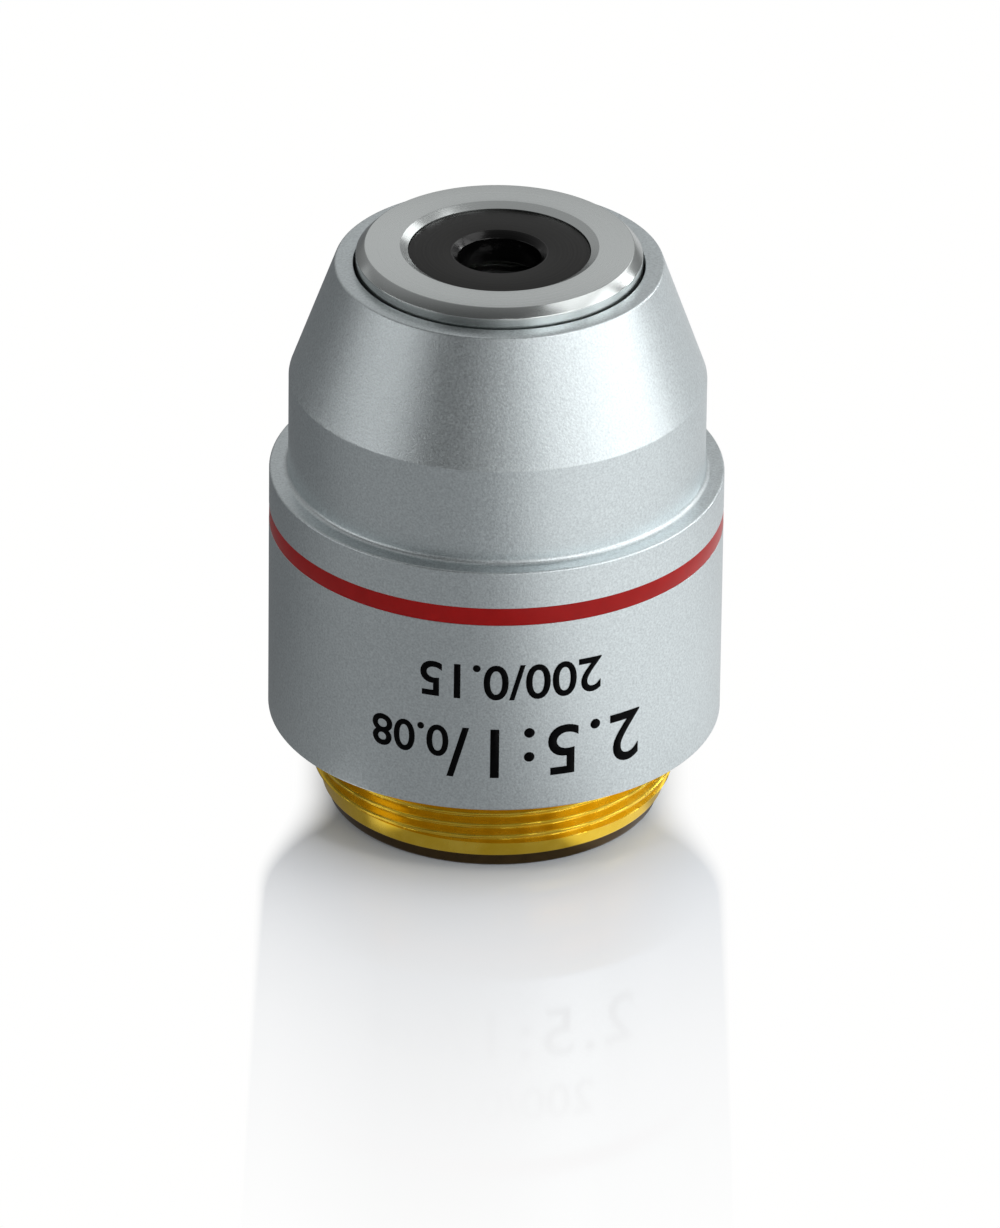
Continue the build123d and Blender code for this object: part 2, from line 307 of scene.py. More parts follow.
def make_colour_band():
    inner = sleeve_radius - BAND_DEPTH
    piece = turn("band_enamel", ring_corners(band_high.x, inner, band_low.z, band_high.z))
    break_edges(piece, FINE_EDGE, (band_high.x, band_low.z), (band_high.x, band_high.z))
    return piece


def make_lens_barrel():
    stack_top = face_height - LIP_THICKNESS
    chamfer_foot = face_height - FACE_CHAMFER
    face_edge = barrel_radius - FACE_CHAMFER
    window_edge = WINDOW_RADIUS + WINDOW_CHAMFER
    piece = turn("barrel_tube", [
        (barrel_bore, barrel_low.z),
        (rear_tube_radius, barrel_low.z),
        (rear_tube_radius, flange_bottom),
        (flange_radius, flange_bottom),
        (flange_radius, flange_top),
        (barrel_radius, flange_top),
        (barrel_radius, chamfer_foot),
        (face_edge, face_height),
        (window_edge, face_height),
        (WINDOW_RADIUS, face_height - WINDOW_CHAMFER_DEPTH),
        (WINDOW_RADIUS, stack_top),
        (barrel_bore, stack_top),
    ])
    break_edges(piece, FINE_EDGE, (barrel_radius, chamfer_foot), (face_edge, face_height),
                (window_edge, face_height))
    return piece


def make_front_cell():
    pocket = front_lens_high.x + LENS_CLEARANCE
    neck = WINDOW_RADIUS - SLIDE_CLEARANCE
    stack_top = face_height - LIP_THICKNESS
    cell_face = front_cell_high.z
    seat = cell_face - FRONT_SEAT_DEPTH
    piece = turn("front_mount", [
        (pocket, front_cell_low.z),
        (front_cell_high.x, front_cell_low.z),
        (front_cell_high.x, stack_top),
        (neck, stack_top),
        (neck, cell_face),
        (APERTURE_RADIUS + COUNTERSINK, cell_face),
        (APERTURE_RADIUS, cell_face - COUNTERSINK),
        (APERTURE_RADIUS, seat),
        (pocket, seat),
    ])
    break_edges(piece, FINE_EDGE, (neck, cell_face), (APERTURE_RADIUS + COUNTERSINK, cell_face),
                (APERTURE_RADIUS, cell_face - COUNTERSINK), (APERTURE_RADIUS, seat))
    return piece


def make_mount_body():
    """The brass body. The thread's wall is drawn out in many rows, which the thread is then cut in."""
    engaged = body_high.x
    wall = [
        (THREAD_CREST_RADIUS, pilot_top + row * THREAD_LENGTH / THREAD_ROWS) for row in range(THREAD_ROWS + 1)
    ]
    piece = turn("brass_body", [
        (body_bore, body_low.z),
        (pilot_radius, body_low.z),
        (pilot_radius, pilot_top),
        *wall,
        (relief_radius, thread_top),
        (relief_radius, shoulder + BODY_RECESS),
        (engaged, shoulder + BODY_RECESS),
        (engaged, body_high.z),
        (body_bore, body_high.z),
    ])
    break_edges(piece, PILOT_CHAMFER, (pilot_radius, body_low.z))
    break_edges(piece, BODY_LEAD_IN, (engaged, body_high.z))
    cut_thread(piece)
    return piece


def thread_depth_at(turns):
    """How deep the thread is this many turns along from a crest: 0 at the crest, 1 at the root."""
    away = abs(turns - round(turns)) * 2
    flank = min(max((away - THREAD_ROUNDING) / (1 - 2 * THREAD_ROUNDING), 0), 1)
    soft = flank * flank * (3 - 2 * flank)
    return soft * THREAD_SOFTNESS + flank * (1 - THREAD_SOFTNESS)


def cut_thread(piece):
    """Cuts the right-hand thread in the wall at the crest radius, with a chamfer at each end."""
    mesh = bmesh.new()
    mesh.from_mesh(piece.data)
    for vertex in mesh.verts:
        if abs(vertex.co.xy.length - THREAD_CREST_RADIUS) > NEAR:
            continue
        along = atan2(vertex.co.y, vertex.co.x) / FULL_TURN
        turns = (vertex.co.z - pilot_top) / THREAD_PITCH - along
        radius = THREAD_CREST_RADIUS - THREAD_DEPTH * thread_depth_at(turns)
        from_end = min(vertex.co.z - pilot_top, thread_top - vertex.co.z)
        radius = min(radius, THREAD_CREST_RADIUS - THREAD_CHAMFER + from_end)
        vertex.co.xy *= radius / THREAD_CREST_RADIUS
    mesh.to_mesh(piece.data)
    mesh.free()


def make_stop_ring():
    outer = stop_high.y + STOP_RING_FULLNESS
    spigot = body_bore - SLIDE_CLEARANCE
    ring_top = stop_low.z + STOP_RING_HEIGHT
    piece = turn("stop_ring", [
        (STOP_RING_BORE, stop_low.z),
        (outer, stop_low.z),
        (outer, ring_top),
        (spigot, ring_top),
        (spigot, stop_high.z),
        (STOP_RING_BORE, stop_high.z),
    ])
    break_edges(piece, STOP_RING_EDGE, (outer, stop_low.z))
    break_edges(piece, FINE_EDGE, (STOP_RING_BORE, stop_low.z))
    cut_slot(piece, stop_low.z)
    return piece


def make_rear_cell():
    pocket = rear_lens_high.x + LENS_CLEARANCE
    seat_radius = rear_lens_high.x - SEAT_WIDTH
    seat = rear_cell_high.z - REAR_SEAT_DEPTH
    return turn("rear_mount", [
        (pocket, rear_cell_low.z),
        (rear_cell_high.x, rear_cell_low.z),
        (rear_cell_high.x, rear_cell_high.z),
        (seat_radius, rear_cell_high.z),
        (seat_radius, seat),
        (pocket, seat),
    ])


def make_slotted_ring(name, low, high, width):
    outer = high.y
    piece = turn(name, ring_corners(outer, outer - width, low.z, high.z))
    break_edges(piece, FINE_EDGE, (outer, low.z), (outer - width, low.z))
    cut_slot(piece, low.z)
    return piece


def sag(curve, radius):
    """How far a lens surface lies behind its vertex at one radius: below 0 where its front is hollow."""
    drop = abs(curve) - sqrt(curve * curve - radius * radius)
    return drop if curve > 0 else -drop


def make_lens(name, radius, curves, front_vertex, thickness):
    """A lens: two round surfaces drawn from the axis to the rim, and the rim between them."""
    outermost = LENS_RINGS + FIRST_LENS_RING
    shares = [(ring + FIRST_LENS_RING) / outermost for ring in range(LENS_RINGS + 1)]
    front = [(radius * share, front_vertex - sag(curves[0], radius * share)) for share in shares]
    rear_vertex = front_vertex - thickness
    rear = [(radius * share, rear_vertex - sag(curves[1], radius * share)) for share in reversed(shares)]
    return turn(name, front + rear, pole=True)


def make_print(name, figures, size, degrees_round, height, spacing):
    """Black figures printed round the sleeve, upside down, with their middle at one angle and height."""
    bpy.ops.object.select_all(action="DESELECT")
    bpy.ops.object.text_add(location=(0, 0, 0))
    piece = bpy.context.object
    piece.name = name
    piece.data.body = figures
    piece.data.size = size
    piece.data.offset = PRINT_BOLDNESS
    piece.data.space_character = spacing
    piece.data.resolution_u = PRINT_CURVE_STEPS
    bpy.ops.object.convert(target="MESH")
    piece = bpy.context.object
    piece.data.name = name
    bpy.ops.object.mode_set(mode="EDIT")
    for strip in range(1, int(piece.dimensions.x / PRINT_STRIP) + 1):
        bpy.ops.mesh.select_all(action="SELECT")
        bpy.ops.mesh.bisect(plane_co=(strip * PRINT_STRIP, 0, 0), plane_no=(1, 0, 0))
    bpy.ops.object.mode_set(mode="OBJECT")
    middle = sum((Vector(corner) for corner in piece.bound_box), Vector()) / 8
    radius = sleeve_radius + PRINT_LIFT
    centre_turn = radians(degrees_round)
    for vertex in piece.data.vertices:
        turned = centre_turn - (vertex.co.x - middle.x) / radius
        up = height - (vertex.co.y - middle.y)
        vertex.co = (radius * sin(turned), -radius * cos(turned), up)
    apply_modifier(piece, "SOLIDIFY", thickness=PRINT_THICKNESS, offset=1)
    return piece


# Where most of a noise's values lie
NOISE_LOW = 0.3
NOISE_HIGH = 0.7


def new_material(name):
    material = bpy.data.materials.new(name)
    material.use_nodes = True
    return material


def add_node(material, kind, **values):
    """Adds a node and sets its properties, or its inputs where it has no such property."""
    node = material.node_tree.nodes.new(kind)
    for name, value in values.items():
        if hasattr(node, name):
            setattr(node, name, value)
        else:
            node.inputs[name.replace("_", " ")].default_value = value
    return node


def link(material, source, output, target, entry):
    material.node_tree.links.new(source.outputs[output], target.inputs[entry])


def millimetres(material):
    """Object coordinates, in millimetres."""
    place = add_node(material, "ShaderNodeTexCoord")
    scale = add_node(material, "ShaderNodeMapping")
    scale.inputs["Scale"].default_value = (1 / MM, 1 / MM, 1 / MM)
    link(material, place, "Object", scale, "Vector")
    return scale


def radius_from_axis(material, place):
    """Distance from the axis, in millimetres."""
    flat = add_node(material, "ShaderNodeVectorMath", operation="MULTIPLY")
    flat.inputs[1].default_value = (1, 1, 0)
    link(material, place, "Vector", flat, 0)
    radius = add_node(material, "ShaderNodeVectorMath", operation="LENGTH")
    link(material, flat, "Vector", radius, 0)
    return radius


def turning_place(material, place):
    """Distance along a turned section: radius plus height, the same all round each turning mark."""
    split = add_node(material, "ShaderNodeSeparateXYZ")
    link(material, place, "Vector", split, "Vector")
    radius = radius_from_axis(material, place)
    return calculate(material, "ADD", (radius, "Value"), (split, "Z"))


def calculate(material, operation, *values):
    """One operation on plain numbers and (node, output) pairs."""
    node = add_node(material, "ShaderNodeMath", operation=operation)
    for entry, value in enumerate(values):
        if isinstance(value, tuple):
            link(material, *value, node, entry)
        else:
            node.inputs[entry].default_value = value
    return node


def tone_mix(material, shader, factor_node, factor_output, dark, light):
    """Base colour that runs from dark to light with a factor."""
    mix = add_node(material, "ShaderNodeMix", data_type="RGBA")
    colour_in = [socket for socket in mix.inputs if socket.type == "RGBA"]
    colour_in[0].default_value = (*dark, 1)
    colour_in[1].default_value = (*light, 1)
    factor = [socket for socket in mix.inputs if socket.type == "VALUE"][0]
    colour_out = [socket for socket in mix.outputs if socket.type == "RGBA"][0]
    material.node_tree.links.new(factor_node.outputs[factor_output], factor)
    material.node_tree.links.new(colour_out, shader.inputs["Base Color"])


def spread(material, source, output, low, high, to_low, to_high):
    """Maps a value's range onto another one."""
    node = add_node(material, "ShaderNodeMapRange")
    node.inputs["From Min"].default_value = low
    node.inputs["From Max"].default_value = high
    node.inputs["To Min"].default_value = to_low
    node.inputs["To Max"].default_value = to_high
    link(material, source, output, node, "Value")
    return node


def bump(material, shader, source, output, strength, distance):
    node = add_node(material, "ShaderNodeBump")
    node.inputs["Strength"].default_value = strength
    node.inputs["Distance"].default_value = distance
    link(material, source, output, node, "Height")
    link(material, node, "Normal", shader, "Normal")


def rough_mix(material, shader, noise, smoothest, roughest):
    """Roughness that runs between two values with a noise."""
    rough = spread(material, noise, "Fac", NOISE_LOW, NOISE_HIGH, smoothest, roughest)
    link(material, rough, "Result", shader, "Roughness")


def principled(material):
    return material.node_tree.nodes["Principled BSDF"]


def satin_plating():
    """Satin plating over a blasted surface: a fine even grain, with faint clouds in its tone."""
    material = new_material("satin_plating")
    shader = principled(material)
    shader.inputs["Metallic"].default_value = 1
    place = millimetres(material)
    grain = add_node(material, "ShaderNodeTexNoise", Scale=8.0, Detail=3.0, Roughness=0.6)
    link(material, place, "Vector", grain, "Vector")
    tone_mix(material, shader, grain, "Fac", (0.40, 0.44, 0.455), (0.915, 0.985, 1.0))
    rough_mix(material, shader, grain, 0.34, 0.44)
    bump(material, shader, grain, "Fac", 0.6, 0.02 * MM)
    return material


def red_enamel():
    """Gloss red enamel, a little uneven where it was wiped into its groove."""
    material = new_material("red_enamel")
    shader = principled(material)
    shader.inputs["Roughness"].default_value = 0.3
    shader.inputs["Specular IOR Level"].default_value = 0.22
    place = millimetres(material)
    flow = add_node(material, "ShaderNodeTexNoise", Scale=1.2, Detail=2.0)
    link(material, place, "Vector", flow, "Vector")
    tone_mix(material, shader, flow, "Fac", (0.34, 0.002, 0.001), (0.45, 0.004, 0.002))
    bump(material, shader, flow, "Fac", 0.1, 0.02 * MM)
    return material


def turned_gloss(material, share):
    """Gloss spread across the turning marks, which run round the axis."""
    shader = principled(material)
    shader.inputs["Anisotropic"].default_value = share
    shader.inputs["Anisotropic Rotation"].default_value = 0.25
    round_axis = add_node(material, "ShaderNodeTangent", direction_type="RADIAL", axis="Z")
    link(material, round_axis, "Tangent", shader, "Tangent")


def turned_metal():
    """Bright metal with fine turning marks round the axis."""
    material = new_material("turned_metal")
    shader = principled(material)
    shader.inputs["Metallic"].default_value = 1
    turned_gloss(material, 0.6)
    along = turning_place(material, millimetres(material))
    marks = add_node(material, "ShaderNodeTexNoise", noise_dimensions="1D", Scale=14.0, Detail=3.0)
    link(material, along, "Value", marks, "W")
    tone_mix(material, shader, marks, "Fac", (0.57, 0.60, 0.595), (0.64, 0.67, 0.665))
    rough_mix(material, shader, marks, 0.18, 0.28)
    bump(material, shader, marks, "Fac", 0.1, 0.01 * MM)
    return material


def turned_brass():
    """Turned brass, duller in patches."""
    material = new_material("turned_brass")
    shader = principled(material)
    shader.inputs["Metallic"].default_value = 1
    turned_gloss(material, 0.5)
    place = millimetres(material)
    patches = add_node(material, "ShaderNodeTexNoise", Scale=0.9, Detail=2.5, Roughness=0.5)
    link(material, place, "Vector", patches, "Vector")
    tone_mix(material, shader, patches, "Fac", (0.74, 0.46, 0.012), (0.97, 0.69, 0.10))
    rough_mix(material, shader, patches, 0.18, 0.3)
    return material


def black_finish():
    """Satin black over turned metal, glossier in the bore: the turning marks show faintly."""
    material = new_material("black_finish")
    shader = principled(material)
    place = millimetres(material)
    along = turning_place(material, place)
    marks = add_node(material, "ShaderNodeTexNoise", noise_dimensions="1D", Scale=9.0, Detail=3.0)
    link(material, along, "Value", marks, "W")
    radius = radius_from_axis(material, place)
    bore_end = BORE_GLOSS_RADIUS / MM
    outside = spread(material, radius, "Value", bore_end, bore_end + BORE_GLOSS_FADE / MM, 0, 1)
    tone = calculate(material, "MULTIPLY", (marks, "Fac"), (outside, "Result"))
    tone_mix(material, shader, tone, "Value", (0.002, 0.002, 0.002), (0.026, 0.0255, 0.024))
    rough = spread(material, outside, "Result", 0, 1, 0.2, 0.36)
    link(material, rough, "Result", shader, "Roughness")
    gloss = spread(material, outside, "Result", 0, 1, 0.45, 0.15)
    link(material, gloss, "Result", shader, "Specular IOR Level")
    bump(material, shader, marks, "Fac", 0.15, 0.01 * MM)
    return material


def blackened_brass():
    """Brass blackened on the ring that the objective stands on, with brown showing through."""
    material = new_material("blackened_brass")
    shader = principled(material)
    shader.inputs["Metallic"].default_value = 0.7
    place = millimetres(material)
    patches = add_node(material, "ShaderNodeTexNoise", Scale=1.5, Detail=4.0)
    link(material, place, "Vector", patches, "Vector")
    tone_mix(material, shader, patches, "Fac", (0.035, 0.02, 0.006), (0.085, 0.05, 0.014))
    rough_mix(material, shader, patches, 0.26, 0.36)
    return material


def black_anodised():
    """Matt black inner parts."""
    material = new_material("black_anodised")
    shader = principled(material)
    place = millimetres(material)
    grain = add_node(material, "ShaderNodeTexNoise", Scale=6.0, Detail=2.0)
    link(material, place, "Vector", grain, "Vector")
    tone_mix(material, shader, grain, "Fac", (0.008, 0.008, 0.008), (0.018, 0.018, 0.019))
    rough_mix(material, shader, grain, 0.45, 0.6)
    return material


def coated_glass(name, tint, ior):
    """Polished lens glass with a faint coating, and tiny polishing waves."""
    material = new_material(name)
    shader = principled(material)
    shader.inputs["Roughness"].default_value = 0.02
    shader.inputs["Transmission Weight"].default_value = 1
    shader.inputs["IOR"].default_value = ior
    place = millimetres(material)
    waves = add_node(material, "ShaderNodeTexNoise", Scale=0.6, Detail=1.0)
    link(material, place, "Vector", waves, "Vector")
    tone_mix(material, shader, waves, "Fac", tint, tuple(min(1, share + 0.02) for share in tint))
    return material


def black_print():
    """Printing ink, a little uneven in its cover."""
    material = new_material("black_print")
    shader = principled(material)
    place = millimetres(material)
    cover = add_node(material, "ShaderNodeTexNoise", Scale=7.0, Detail=2.0)
    link(material, place, "Vector", cover, "Vector")
    shader.inputs["Specular IOR Level"].default_value = 0.04
    tone_mix(material, shader, cover, "Fac", (0.0005, 0.0005, 0.0006), (0.003, 0.003, 0.0035))
    rough_mix(material, shader, cover, 0.42, 0.55)
    return material


finishes = {
    "satin_shell": satin_plating(),
    "red_enamel": red_enamel(),
    "thread_brass": turned_brass(),
    "turned_metal": turned_metal(),
    "black_finish": black_finish(),
    "black_aluminium": black_anodised(),
    "crown_glass": coated_glass("crown_glass", (0.93, 0.97, 0.96), 1.52),
    "flint_glass": coated_glass("flint_glass", (0.95, 0.95, 0.91), 1.62),
}
print_finish = black_print()
stop_finish = blackened_brass()


def dress(piece, slot, *nodes, finish=None):
    """Gives a piece its finish and its place on the one body, and hides the nodes that it stands for."""
    piece.data.materials.clear()
    piece.data.materials.append(finish or finishes[slot])
    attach(piece, "root")
    if nodes:
        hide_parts(*nodes)


def dress_cad_nodes():
    """Every node of the frame gets its slot's finish, also those that a piece stands for."""
    for subpart in frame["record"]["subparts"]:
        node = frame["nodes"][subpart["node"]]
        node.data.materials.clear()
        node.data.materials.append(finishes[subpart["material_slot"]])


def make_pieces():
    turned_pieces = [
        (make_outer_sleeve(), "satin_shell", "outer_sleeve"),
        (make_colour_band(), "red_enamel", "colour_band"),
        (make_lens_barrel(), "turned_metal", "lens_barrel"),
        (make_front_cell(), "black_finish", "front_cell"),
        (make_mount_body(), "thread_brass", "mount_body"),
        (make_rear_cell(), "black_aluminium", "rear_cell"),
        (make_slotted_ring("rear_lens_ring", rear_retainer_low, rear_retainer_high, RETAINER_WIDTH),
         "black_aluminium", "rear_retainer"),
        (make_slotted_ring("barrel_end_ring", barrel_retainer_low, barrel_retainer_high,
                           BARREL_RETAINER_WIDTH),
         "black_aluminium", "barrel_retainer"),
        (make_lens("front_glass", front_lens_high.x, FRONT_LENS_CURVES, front_lens_high.z,
                   FRONT_LENS_THICKNESS), "crown_glass", "front_crown_lens"),
        (make_lens("rear_glass", rear_lens_high.x, REAR_LENS_CURVES, rear_front_vertex(),
                   REAR_LENS_THICKNESS), "flint_glass", "rear_flint_lens"),
    ]
    for piece, slot, node in turned_pieces:
        smooth(piece)
        dress(piece, slot, node)
    stop_ring = make_stop_ring()
    smooth(stop_ring)
    dress(stop_ring, "black_finish", "rear_stop_ring", finish=stop_finish)


def rear_front_vertex():
    """Height of the rear flint lens's hollow front at the axis: its rim stands above it."""
    return rear_lens_high.z + sag(REAR_LENS_CURVES[0], rear_lens_high.x)


def make_prints():
    for entry in PRINTS:
        dress(make_print(*entry), "black_finish", finish=print_finish)


# Camera at the photograph's angle
ELEVATION = radians(27.93)
CAMERA_DISTANCE = 0.8
PIXELS_PER_METRE = 17980
PICTURE_WIDTH = 1000
PICTURE_HEIGHT = 1228
SENSOR = 36
ROLL = 0.0125
LOOK_HEIGHT = 13 * MM
LOOK_PIXEL = (496.5, 495.8)


def make_camera():
    """Looks at a point on the axis, and is turned so that the point falls on LOOK_PIXEL."""
    target = Vector((0, 0, shoulder + LOOK_HEIGHT))
    back = Vector((0, -cos(ELEVATION), sin(ELEVATION)))
    eye = target + back * CAMERA_DISTANCE
    up = Vector((0, sin(ELEVATION), cos(ELEVATION)))
    right = Vector((1, 0, 0))
    aside = (PICTURE_WIDTH / 2 - LOOK_PIXEL[0]) / PIXELS_PER_METRE
    above = (LOOK_PIXEL[1] - PICTURE_HEIGHT / 2) / PIXELS_PER_METRE
    turn_right = Matrix.Rotation(ROLL, 3, back)
    aim = target + turn_right @ (right * aside + up * above)
    data = bpy.data.cameras.new("camera")
    data.sensor_width = SENSOR
    data.lens = PIXELS_PER_METRE * CAMERA_DISTANCE * SENSOR / PICTURE_HEIGHT
    data.clip_start = 0.05
    data.clip_end = 20
    camera = bpy.data.objects.new("camera", data)
    bpy.context.scene.collection.objects.link(camera)
    level = (aim - eye).to_track_quat("-Z", "Y").to_matrix()
    facing = (Matrix.Rotation(ROLL, 3, eye - aim) @ level).to_4x4()
    camera.matrix_world = Matrix.Translation(eye) @ facing
    bpy.context.scene.camera = camera


# Floor. A list of (distance from the axis in millimetres, value) says how a value changes along the way.
FLOOR_SIZE = 6.0
FLOOR_TONE = (0.80, 0.87, 0.97, 1)
FLOOR_WHITE = (1, 1, 0.996, 1)

# How much of a mirror it is to the camera. It ends at the sides of the object's reflection.
FLOOR_MIRROR = ((9, 0.03), (12, 0.05), (17, 0.09), (25, 0.08), (37, 0.05), (54, 0.02))
FLOOR_BLUR = 0.07
MIRROR_SIDE = 6 * MM
MIRROR_FADE = 6 * MM

# How white the camera sees it in the strip before and behind the object: a painted shade, greyer near the
# object, where less of the floor's white and more of its lit matt face shows, which keeps the object's real
# shadow. Beside the strip it is all white.
FLOOR_GLOW = (
    (9, 0.05), (10, 0.18), (12.2, 0.36), (15.8, 0.56), (20.5, 0.7), (25, 0.78), (31, 0.86), (54, 1.0),
)
GLOW_SQUEEZE = (0.78, 1, 0)
STRIP_NARROWS = (-11 * MM, -1 * MM)
STRIP_HALF_WIDTHS = (12.4 * MM, 10.4 * MM)
STRIP_EDGE_SOFTENS = (-12 * MM, -4 * MM)
STRIP_EDGE_INSIDE = (-0.7 * MM, -2.5 * MM)
STRIP_EDGE_OUTSIDE = 0.8 * MM
BACK_FADE = (12 * MM, 32 * MM)

# What it shows in gloss, with a painted shade: it loses white to the left, more behind than in front, and at
# the back on the right, so that the metal reflects a darker floor there.
GLOSS_GLOW = 0.9
DIM_SIDES = (0, 26 * MM)
DIM_DEPTHS = (-12 * MM, 12 * MM)
DIM_LOSSES = (0.73, 0.87)
BACK_RIGHT_DEPTHS = (4 * MM, 30 * MM)
BACK_RIGHT_LOSS = 0.3

# Painted bright spots on it, kept out of the painted shade in gloss, as (place, radius): painted light, which
# the brass shows as painted reflections in its pale bands
PAINTED_LIT_SPOTS = (
    ((-9.9 * MM, -8.8 * MM, 0), 1.3 * MM),
    ((-13.6 * MM, -9.4 * MM, 0), 1.7 * MM),
    ((11.3 * MM, -8.5 * MM, 0), 5 * MM),
)
SPOT_FADE = 1.2 * MM


def painted_gloss_shade(material, place, split):
    """The painted shade that the floor shows in gloss: how much of its white it loses there."""
    far = spread(material, split, "X", *DIM_SIDES, 1, 0)
    far.interpolation_type = "SMOOTHSTEP"
    dim = spread(material, split, "Y", *DIM_DEPTHS, *DIM_LOSSES)
    fade = calculate(material, "MULTIPLY", (far, "Result"), (dim, "Result"))
    # Painted bright spots: the painted shade in gloss leaves them white
    for spot, reach in PAINTED_LIT_SPOTS:
        away = add_node(material, "ShaderNodeVectorMath", operation="DISTANCE")
        away.inputs[1].default_value = spot
        link(material, place, "Object", away, 0)
        off_spot = spread(material, away, "Value", reach, reach + SPOT_FADE, 0, 1)
        fade = calculate(material, "MULTIPLY", (fade, "Value"), (off_spot, "Result"))
    right = calculate(material, "SUBTRACT", 1, (far, "Result"))
    behind = spread(material, split, "Y", *BACK_RIGHT_DEPTHS, 0, BACK_RIGHT_LOSS)
    corner = calculate(material, "MULTIPLY", (right, "Value"), (behind, "Result"))
    return calculate(material, "ADD", (fade, "Value"), (corner, "Value"))


def camera_glow_with_painted_shade(material, place, split):
    """How much of its white the floor shows to the camera: less in a strip before and behind the object, a
    painted shade, where its lit matt face and the object's real shadow on it show through.
    """
    aside = calculate(material, "ABSOLUTE", (split, "X"))
    half = spread(material, split, "Y", *STRIP_NARROWS, *STRIP_HALF_WIDTHS)
    half.interpolation_type = "SMOOTHSTEP"
    beyond = calculate(material, "SUBTRACT", (aside, "Value"), (half, "Result"))
    edge = spread(material, split, "Y", *STRIP_EDGE_SOFTENS, *STRIP_EDGE_INSIDE)
    clean = spread(material, beyond, "Value", STRIP_EDGE_INSIDE[0], STRIP_EDGE_OUTSIDE, 0, 1)
    link(material, edge, "Result", clean, "From Min")
    clean.interpolation_type = "SMOOTHSTEP"
    squeezed = add_node(material, "ShaderNodeVectorMath", operation="MULTIPLY")
    squeezed.inputs[1].default_value = GLOW_SQUEEZE
    link(material, place, "Object", squeezed, 0)
    reach = add_node(material, "ShaderNodeVectorMath", operation="LENGTH")
    link(material, squeezed, "Vector", reach, 0)
    near = by_distance(material, reach, FLOOR_GLOW)
    back = spread(material, split, "Y", *BACK_FADE, 0, 1)
    back.interpolation_type = "SMOOTHSTEP"
    outside = calculate(material, "MAXIMUM", (clean, "Result"), (back, "Result"))
    return calculate(material, "MAXIMUM", (near, "Value"), (outside, "Value"))


def floor_whiteness(material, place, split, seen):
    """The floor's own white and its share, to the camera, through glass and in gloss, with its painted shade
    in gloss.
    """
    painted_shade = painted_gloss_shade(material, place, split)
    lost = calculate(material, "MULTIPLY", (seen, "Is Glossy Ray"), (painted_shade, "Value"))
    strength = calculate(material, "SUBTRACT", 1, (lost, "Value"))
    white = add_node(material, "ShaderNodeEmission")
    white.inputs["Color"].default_value = FLOOR_WHITE
    link(material, strength, "Value", white, "Strength")
    glow = camera_glow_with_painted_shade(material, place, split)
    clear = calculate(material, "MAXIMUM", (seen, "Is Camera Ray"), (seen, "Is Transmission Ray"))
    clear_share = calculate(material, "MULTIPLY", (clear, "Value"), (glow, "Value"))
    gloss_share = calculate(material, "MULTIPLY", (seen, "Is Glossy Ray"), GLOSS_GLOW)
    share = calculate(material, "MAXIMUM", (clear_share, "Value"), (gloss_share, "Value"))
    return white, share


def by_distance(material, distance, steps):
    """A value that goes through its (distance in millimetres, value) steps."""
    curve = add_node(material, "ShaderNodeFloatCurve")
    reach = steps[-1][0]
    share = calculate(material, "DIVIDE", (distance, "Value"), reach * MM)
    link(material, share, "Value", curve, "Value")
    points = curve.mapping.curves[0].points
    points[0].location = (0, steps[0][1])
    points[1].location = (1, steps[-1][1])
    for away, value in steps[:-1]:
        points.new(away / reach, value)
    curve.mapping.update()
    return curve


def make_floor():
    """A white floor, a little mirror-like close round the object, with painted shade round the object, to the
    camera and in gloss.
    """
    bpy.ops.object.select_all(action="DESELECT")
    bpy.ops.mesh.primitive_plane_add(size=FLOOR_SIZE, location=(0, 0, 0))
    floor = bpy.context.object
    floor.name = "floor"
    material = new_material("floor_white")
    material.node_tree.nodes.remove(principled(material))
    place = add_node(material, "ShaderNodeTexCoord")
    matt = add_node(material, "ShaderNodeBsdfDiffuse")
    matt.inputs["Color"].default_value = FLOOR_TONE
    seen = add_node(material, "ShaderNodeLightPath")
    split = add_node(material, "ShaderNodeSeparateXYZ")
    link(material, place, "Object", split, "Vector")
    distance = add_node(material, "ShaderNodeVectorMath", operation="LENGTH")
    link(material, place, "Object", distance, 0)
    white, share = floor_whiteness(material, place, split, seen)
    pale = add_node(material, "ShaderNodeMixShader")
    link(material, share, "Value", pale, 0)
    link(material, matt, "BSDF", pale, 1)
    link(material, white, "Emission", pale, 2)
    mirror = add_node(material, "ShaderNodeBsdfGlossy", Roughness=FLOOR_BLUR)
    aside = calculate(material, "ABSOLUTE", (split, "X"))
    strip = spread(material, aside, "Value", MIRROR_SIDE, MIRROR_SIDE + MIRROR_FADE, 1, 0)
    gloss = calculate(material, "MULTIPLY", (by_distance(material, distance, FLOOR_MIRROR), "Value"),
                      (strip, "Result"))
    clear_gloss = calculate(material, "MULTIPLY", (gloss, "Value"), (seen, "Is Camera Ray"))
    surface = add_node(material, "ShaderNodeMixShader")
    link(material, clear_gloss, "Value", surface, 0)
    link(material, pale, "Shader", surface, 1)
    link(material, mirror, "BSDF", surface, 2)
    link(material, surface, "Shader", material.node_tree.nodes["Material Output"], "Surface")
    floor.data.materials.append(material)


# Light: the world is pale above and behind, dim on the camera's side
WORLD_WAY = (0, 0.6, 0.8)
WORLD_RISE = (0.35, 0.85)
WORLD_DIM = 0.08
WORLD_PALE = 0.4
WORLD_TONE = (1, 1, 1, 1)


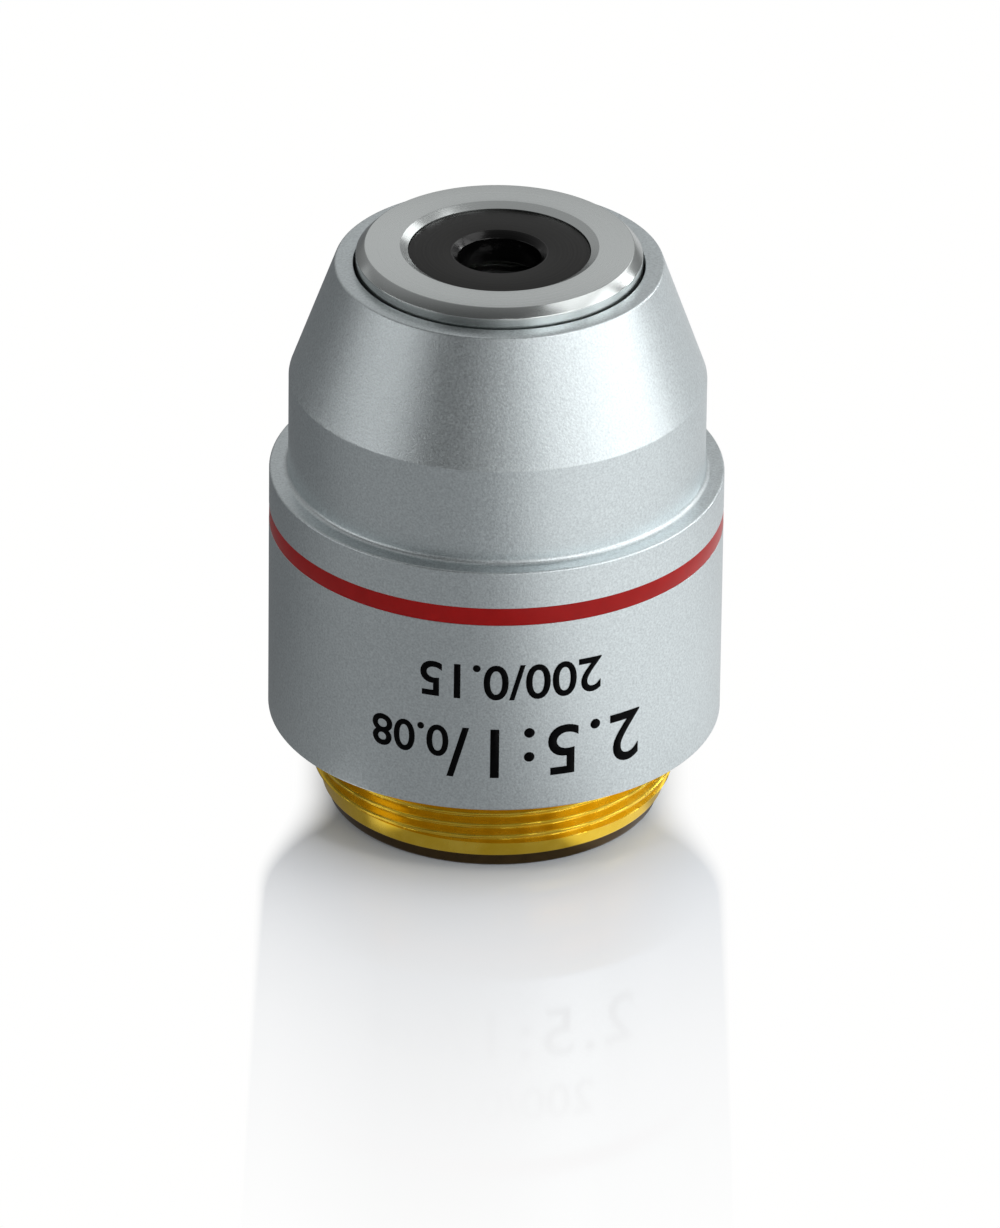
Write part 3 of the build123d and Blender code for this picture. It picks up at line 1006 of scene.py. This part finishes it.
def make_world():
    world = bpy.data.worlds.new("studio")
    bpy.context.scene.world = world
    world.use_nodes = True
    tree = world.node_tree
    place = tree.nodes.new("ShaderNodeTexCoord")
    along = tree.nodes.new("ShaderNodeVectorMath")
    along.operation = "DOT_PRODUCT"
    along.inputs[1].default_value = WORLD_WAY
    ramp = tree.nodes.new("ShaderNodeMapRange")
    ramp.interpolation_type = "SMOOTHSTEP"
    ramp.inputs["From Min"].default_value = WORLD_RISE[0]
    ramp.inputs["From Max"].default_value = WORLD_RISE[1]
    ramp.inputs["To Min"].default_value = WORLD_DIM
    ramp.inputs["To Max"].default_value = WORLD_PALE
    tree.links.new(place.outputs["Generated"], along.inputs[0])
    tree.links.new(along.outputs["Value"], ramp.inputs["Value"])
    tree.links.new(ramp.outputs["Result"], tree.nodes["Background"].inputs["Strength"])
    tree.nodes["Background"].inputs["Color"].default_value = WORLD_TONE


# Soft boxes: name, azimuth from the camera's side to its right, elevation, width, height, radiance
BOX_DISTANCE = 0.5
BOX_AIM = 17 * MM
SOFT_BOXES = (
    ("left_box", -75, 12, 0.5, 0.13, 1.35),
    ("left_back_box", -120, 12, 0.24, 0.13, 0.28),
    ("front_box", 0, 12, 0.24, 0.13, 0.35),
    ("front_high_box", 7, 30, 0.05, 0.12, 2.5),
    ("front_right_box", 30, 12, 0.24, 0.13, 1.18),
    ("low_box", 60, 3, 0.24, 0.06, 4.8),
    ("right_front_box", 45, 32, 0.3, 0.16, 3.4),
    ("right_box", 90, 12, 0.24, 0.13, 3.8),
    ("right_mid_box", 90, 32, 0.3, 0.16, 1.9),
    ("right_high_box", 90, 55, 0.3, 0.2, 1.25),
    ("right_back_box", 122, 17, 0.06, 0.06, 16),
    ("back_right_box", 135, 32, 0.3, 0.16, 1.5),
    ("back_box", 180, 29, 0.2, 0.15, 0.25),
)


def soft_box(name, azimuth, elevation, width, height, radiance):
    """A soft box that faces the object."""
    centre = Vector((0, 0, BOX_AIM))
    turned, raised = radians(azimuth), radians(elevation)
    away = Vector((sin(turned) * cos(raised), -cos(turned) * cos(raised), sin(raised)))
    data = bpy.data.lights.new(name, "AREA")
    data.shape = "RECTANGLE"
    data.size = width
    data.size_y = height
    data.energy = radiance * width * height * pi
    lamp = bpy.data.objects.new(name, data)
    bpy.context.scene.collection.objects.link(lamp)
    lamp.location = centre + away * BOX_DISTANCE
    lamp.rotation_euler = away.to_track_quat("Z", "Y").to_euler()


def make_lights():
    for box in SOFT_BOXES:
        soft_box(*box)


make_camera()
dress_cad_nodes()
make_pieces()
make_prints()
make_floor()
make_world()
make_lights()
bpy.context.scene.view_settings.view_transform = "Standard"
